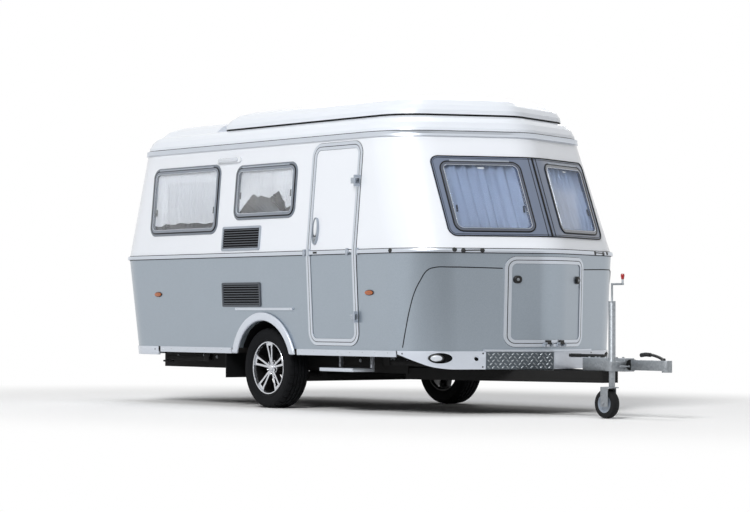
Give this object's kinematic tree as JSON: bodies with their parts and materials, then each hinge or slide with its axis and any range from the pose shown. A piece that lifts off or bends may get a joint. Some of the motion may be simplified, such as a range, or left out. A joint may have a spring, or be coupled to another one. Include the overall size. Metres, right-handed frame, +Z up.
{
  "type": "travel caravan",
  "caption": "Small single-axle touring caravan with a lifting roof, two-colour body, entrance door, gas locker hatch, corner steadies, A-frame coupling and jockey wheel.",
  "frame": {"origin": "on the ground under the middle of the whole caravan, from the rear rail to the coupling's nose", "axes": "+X forward to the coupling, +Y to the caravan's left, +Z up; the entrance door is on the right (-Y)"},
  "size_m": [5.41, 2, 2.262],
  "materials": {
    "paint_silver": "semi-gloss",
    "paint_white": "semi-gloss",
    "roof_shell": "glossy",
    "aluminium_trim": "satin",
    "galvanised": "matte",
    "alloy": "semi-gloss",
    "tyre_rubber": "matte",
    "black_rubber": "matte",
    "grey_plastic": "satin",
    "dark_frame": "satin",
    "window_grey": "polished",
    "curtain_cloth": "matte",
    "bumper_plastic": "satin",
    "checker_plate": "brushed",
    "clear_lens": "glossy",
    "amber_lens": "glossy",
    "red_lens": "glossy",
    "black_plastic": "satin",
    "white_plastic": "satin",
    "red_plastic": "glossy",
    "floor_board": "matte",
    "chassis_steel": "matte",
    "bellows_cloth": "matte"
  },
  "bodies": {
    "caravan": {"lower_wall_right": "paint_silver", "lower_wall_left": "paint_silver", "lower_wall_front": "paint_silver", "lower_wall_rear": "paint_silver", "upper_wall_right": "paint_white", "upper_wall_left": "paint_white", "upper_wall_front": "paint_white", "upper_wall_rear": "paint_white", "floor_panel": "floor_board", "wheel_boxes": "black_plastic", "roof_fixed": "roof_shell", "roof_bellows": "bellows_cloth", "body_rails": "aluminium_trim", "wheel_arch_trims": "bumper_plastic", "mud_flaps": "black_rubber", "opening_trims": "aluminium_trim", "hinge_pins": "galvanised", "window_panes": "window_grey", "window_frames": "grey_plastic", "front_window_band": "dark_frame", "curtains": "curtain_cloth", "fridge_grilles": "grey_plastic", "white_lamps": "clear_lens", "side_markers": "amber_lens", "tail_lamps": "red_lens", "front_bumper": "bumper_plastic", "rear_bumper": "bumper_plastic", "tread_plate": "checker_plate", "chassis_frame": "chassis_steel", "axle_tube": "chassis_steel", "trailing_arms": "chassis_steel", "overrun_housing": "galvanised", "coupling_head": "galvanised", "handbrake_lever": "black_plastic", "jockey_tube": "galvanised", "entry_step": "grey_plastic", "steady_brackets": "galvanised"},
    "lift_roof": {"lifting_roof": "roof_shell", "roof_seal": "black_rubber"},
    "door": {"door_lower": "paint_silver", "door_upper": "paint_white", "door_trim": "aluminium_trim", "door_handle": "white_plastic", "door_hinge_leaves": "white_plastic"},
    "locker_lid": {"locker_hatch": "paint_silver", "locker_edge_trim": "aluminium_trim", "locker_fittings": "black_plastic"},
    "wheel_left": {"tyre_left": "tyre_rubber", "rim_left": "alloy"},
    "wheel_right": {"tyre_right": "tyre_rubber", "rim_right": "alloy"},
    "steady_front_left": {"steady_leg_front_left": "galvanised"},
    "steady_front_right": {"steady_leg_front_right": "galvanised"},
    "steady_rear_left": {"steady_leg_rear_left": "galvanised"},
    "steady_rear_right": {"steady_leg_rear_right": "galvanised"},
    "jockey_inner": {"jockey_stem": "galvanised", "crank_knob": "red_plastic"},
    "jockey_swivel_fork": {"jockey_fork": "galvanised"},
    "jockey_roller": {"jockey_wheel": "black_rubber"}
  },
  "joints": [
    {"name": "wheel_left_spin", "type": "hinge", "parent": "caravan", "child": "wheel_left", "pos_m": [-0.595, 0.8375, 0.298], "axis": [0, 1, 0], "continuous": true},
    {"name": "wheel_right_spin", "type": "hinge", "parent": "caravan", "child": "wheel_right", "pos_m": [-0.595, -0.8375, 0.298], "axis": [0, 1, 0], "continuous": true},
    {"name": "door_swing", "type": "hinge", "parent": "caravan", "child": "door", "pos_m": [0.556, -0.992, 1.138], "axis": [0, 0, 1], "range_deg": [0, 160]},
    {"name": "locker_swing", "type": "hinge", "parent": "caravan", "child": "locker_lid", "pos_m": [1.57072, 0, 0.4975], "axis": [0, 1, 0], "range_deg": [0, 90]},
    {"name": "steady_front_left_swing", "type": "hinge", "parent": "caravan", "child": "steady_front_left", "pos_m": [0.585, 0.7, 0.352], "axis": [0, 1, 0], "range_deg": [0, 31]},
    {"name": "steady_front_right_swing", "type": "hinge", "parent": "caravan", "child": "steady_front_right", "pos_m": [0.585, -0.7, 0.352], "axis": [0, 1, 0], "range_deg": [0, 31]},
    {"name": "steady_rear_left_swing", "type": "hinge", "parent": "caravan", "child": "steady_rear_left", "pos_m": [-1.475, 0.85, 0.352], "axis": [0, -1, 0], "range_deg": [0, 31]},
    {"name": "steady_rear_right_swing", "type": "hinge", "parent": "caravan", "child": "steady_rear_right", "pos_m": [-1.475, -0.85, 0.352], "axis": [0, -1, 0], "range_deg": [0, 31]},
    {"name": "roof_lift", "type": "slide", "parent": "caravan", "child": "lift_roof", "axis": [0, 0, 1], "range_m": [0, 0.32], "deforming": ["roof_bellows"]},
    {"name": "jockey_wind", "type": "slide", "parent": "caravan", "child": "jockey_inner", "axis": [0, 0, 1], "range_m": [0, 0.095]},
    {"name": "jockey_swivel", "type": "hinge", "parent": "jockey_inner", "child": "jockey_swivel_fork", "pos_m": [2.285, -0.135, 0.2], "axis": [0, 0, 1], "continuous": true},
    {"name": "jockey_roll", "type": "hinge", "parent": "jockey_swivel_fork", "child": "jockey_roller", "pos_m": [2.237, -0.135, 0.1], "axis": [0, 1, 0], "continuous": true}
  ]
}
